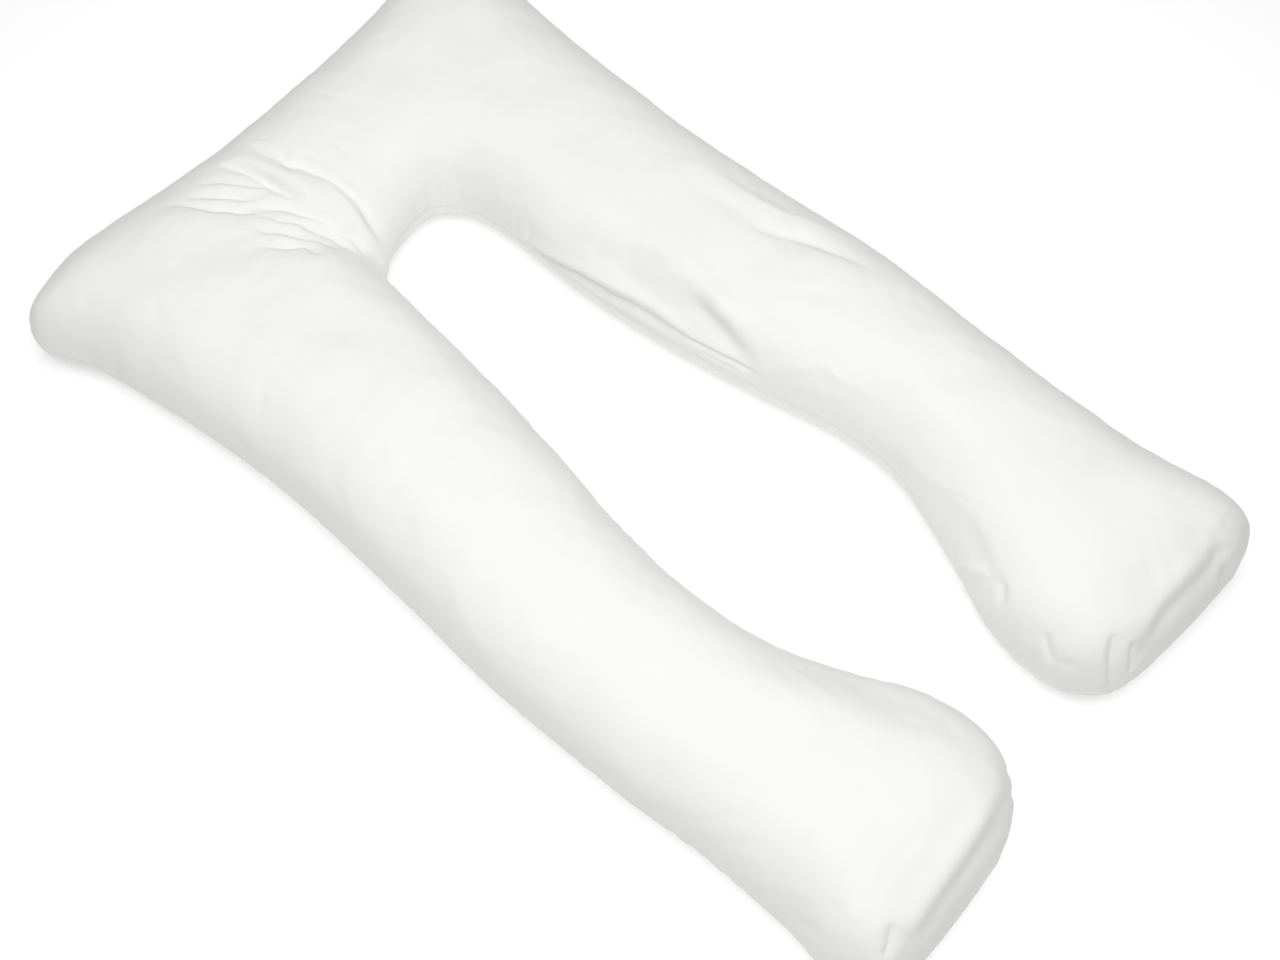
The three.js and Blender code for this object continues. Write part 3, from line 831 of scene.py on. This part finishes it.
def makeThread(look):
    material, tree, shader = makeMaterial("seamThread")
    setInputs(shader, {"Base Color": (*look["shade"], 1), "Roughness": look["roughness"],
                       "Sheen Weight": look["sheen"]})
    place = tree.nodes.new("ShaderNodeTexCoord")
    twist = tree.nodes.new("ShaderNodeTexWave")
    twist.bands_direction = "DIAGONAL"
    twist.inputs["Scale"].default_value = wavePeriod / look["twistPitch"]
    bump = tree.nodes.new("ShaderNodeBump")
    setInputs(bump, {"Strength": look["twistBump"], "Distance": look["twistDepth"]})
    joinNodes(tree, ((place, "Object", twist, "Vector"), (twist, "Fac", bump, "Height"),
                     (bump, "Normal", shader, "Normal")))
    return material


def stitchTree(material, backShare):
    # short threads across a line, at an even pitch, each leaning a little its own way
    tree = bpy.data.node_groups.new("seamStitches", "GeometryNodeTree")
    sockets = {"Geometry": "Geometry", "Pitch": "Float", "Length": "Float",
               "Thickness": "Float", "Tilt": "Float", "Seed": "Int"}
    for name, kind in sockets.items():
        tree.interface.new_socket(name, in_out="INPUT", socket_type="NodeSocket" + kind)
    tree.interface.new_socket("Geometry", in_out="OUTPUT", socket_type="NodeSocketGeometry")
    nodes = tree.nodes
    start, end = nodes.new("NodeGroupInput"), nodes.new("NodeGroupOutput")

    line = nodes.new("GeometryNodeMeshToCurve")
    upright = nodes.new("GeometryNodeSetCurveNormal")
    upright.mode = "Z_UP"
    spots = nodes.new("GeometryNodeCurveToPoints")
    spots.mode = "LENGTH"
    joinNodes(tree, ((start, "Geometry", line, "Mesh"), (line, "Curve", upright, "Curve"),
                     (upright, "Curve", spots, "Curve"), (start, "Pitch", spots, "Length")))

    thread = nodes.new("GeometryNodeMeshUVSphere")
    setInputs(thread, {"Segments": 6, "Rings": 5, "Radius": 0.5})
    sizes = nodes.new("ShaderNodeCombineXYZ")
    shaped = nodes.new("GeometryNodeTransform")
    joinNodes(tree, ((start, "Thickness", sizes, "X"), (start, "Length", sizes, "Y"),
                     (start, "Thickness", sizes, "Z"), (thread, "Mesh", shaped, "Geometry"),
                     (sizes, "Vector", shaped, "Scale")))

    placed = nodes.new("GeometryNodeInstanceOnPoints")
    lean = nodes.new("FunctionNodeRandomValue")
    lean.data_type = "FLOAT"
    backwards = nodes.new("ShaderNodeMath")
    backwards.operation = "MULTIPLY"
    backwards.inputs[1].default_value = -backShare
    turn = nodes.new("ShaderNodeCombineXYZ")
    leaning = nodes.new("GeometryNodeRotateInstances")
    joinNodes(tree, ((spots, "Points", placed, "Points"), (spots, "Rotation", placed, "Rotation"),
                     (shaped, "Geometry", placed, "Instance"), (start, "Tilt", backwards, 0),
                     (backwards, "Value", lean, "Min"), (start, "Tilt", lean, "Max"),
                     (start, "Seed", lean, "Seed"), (lean, "Value", turn, "X"),
                     (placed, "Instances", leaning, "Instances"),
                     (turn, "Vector", leaning, "Rotation")))

    real = nodes.new("GeometryNodeRealizeInstances")
    finish = nodes.new("GeometryNodeSetMaterial")
    finish.inputs["Material"].default_value = material
    joinNodes(tree, ((leaning, "Instances", real, "Geometry"),
                     (real, "Geometry", finish, "Geometry"),
                     (finish, "Geometry", end, "Geometry")))
    return tree


def makeStitches(seamLine, look):
    # the sewing thread along the whole seam, as one joined mesh
    heading = np.roll(seamLine, -1, axis=0) - np.roll(seamLine, 1, axis=0)
    outwards = np.stack([-heading[:, 1], heading[:, 0], 0 * heading[:, 0]], axis=1)
    outwards /= np.linalg.norm(outwards, axis=1, keepdims=True)
    points = seamLine + look["lift"] * outwards
    mesh = bpy.data.meshes.new("seamLine")
    count = len(points)
    mesh.from_pydata(points.tolist(), [(i, (i + 1) % count) for i in range(count)], [])
    holder = addObject("seamLine", mesh)
    modifier = holder.modifiers.new("stitches", "NODES")
    modifier.node_group = tree = stitchTree(makeThread(look), look["backwards"])
    for socket in tree.interface.items_tree:
        if socket.in_out == "INPUT" and socket.name != "Geometry":
            modifier[socket.identifier] = look[socket.name.lower()]
    evaluated = holder.evaluated_get(bpy.context.evaluated_depsgraph_get())
    stitches = bpy.data.meshes.new_from_object(evaluated)
    stitches.shade_smooth()
    bpy.data.objects.remove(holder)
    return addObject("seamStitches", stitches)


seamStitches = makeStitches(seamLine, seamThread)
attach(seamStitches, "root")
print("stage: seam stitched,", len(seamStitches.data.polygons), "faces")

studio = {
    "floorSide": 12,        # m from the middle to the floor's edges
    "floorHeight": -0.0004, # m, just under the pillow
    "floorShade": 0.90,
    "floorRoughness": 0.9,
    "floorGlow": 0.205,
    "roomShade": (1.0, 1.0, 1.0),
    "roomLight": 0.18,
}

softLights = [
    {"name": "lightAbove", "place": (0, 0, 2.7), "size": 2.6, "power": 55},
    {"name": "lightBehindCamera", "place": (-1.051, -0.930, 2.876), "size": 1.6, "power": 36},
]


def makeStudio(look):
    # the room's even light, the soft lights, and the pale floor
    world = bpy.data.worlds.new("studioRoom")
    bpy.context.scene.world = world
    world.use_nodes = True
    background = world.node_tree.nodes["Background"]
    background.inputs["Color"].default_value = (*look["roomShade"], 1)
    background.inputs["Strength"].default_value = look["roomLight"]

    for soft in softLights:
        light = addObject(soft["name"], bpy.data.lights.new(soft["name"], "AREA"))
        light.data.shape = "SQUARE"
        light.data.size = soft["size"]
        light.data.energy = soft["power"]
        light.location = soft["place"]
        light.rotation_euler = (-light.location).to_track_quat("-Z", "Y").to_euler()

    mesh = bpy.data.meshes.new("studioFloor")
    side, height = look["floorSide"], look["floorHeight"]
    mesh.from_pydata([(-side, -side, height), (side, -side, height), (side, side, height),
                      (-side, side, height)], [], [(0, 1, 2, 3)])
    floor = addObject("studioFloor", mesh)
    paper, _, shader = makeMaterial("paleFloor")
    setInputs(shader, {"Base Color": (*(look["floorShade"],) * 3, 1),
                       "Roughness": look["floorRoughness"], "Emission Color": (1, 1, 1, 1),
                       "Emission Strength": look["floorGlow"]})
    mesh.materials.append(paper)


cameraView = {
    "azimuth": -48.5,   # degrees round the pillow, 0 looks along +Y
    "elevation": 64,
    "distance": 2.22,
    "target": (-0.0585, -0.0723, 0.082),
    "lens": 52.06,      # mm
    "sensor": 36,       # mm wide
}


def makeCamera(look):
    # back points from the target to the camera
    azimuth, elevation = math.radians(look["azimuth"]), math.radians(look["elevation"])
    back = Vector((math.sin(azimuth) * math.cos(elevation),
                   -math.cos(azimuth) * math.cos(elevation), math.sin(elevation)))
    camera = addObject("camera", bpy.data.cameras.new("camera"))
    camera.data.lens = look["lens"]
    camera.data.sensor_width = look["sensor"]
    camera.data.sensor_fit = "HORIZONTAL"
    camera.location = Vector(look["target"]) + back * look["distance"]
    camera.rotation_euler = (-back).to_track_quat("-Z", "Y").to_euler()
    bpy.context.scene.camera = camera


makeStudio(studio)
makeCamera(cameraView)
bpy.context.scene.view_settings.view_transform = "Standard"
print("stage: studio and camera set")
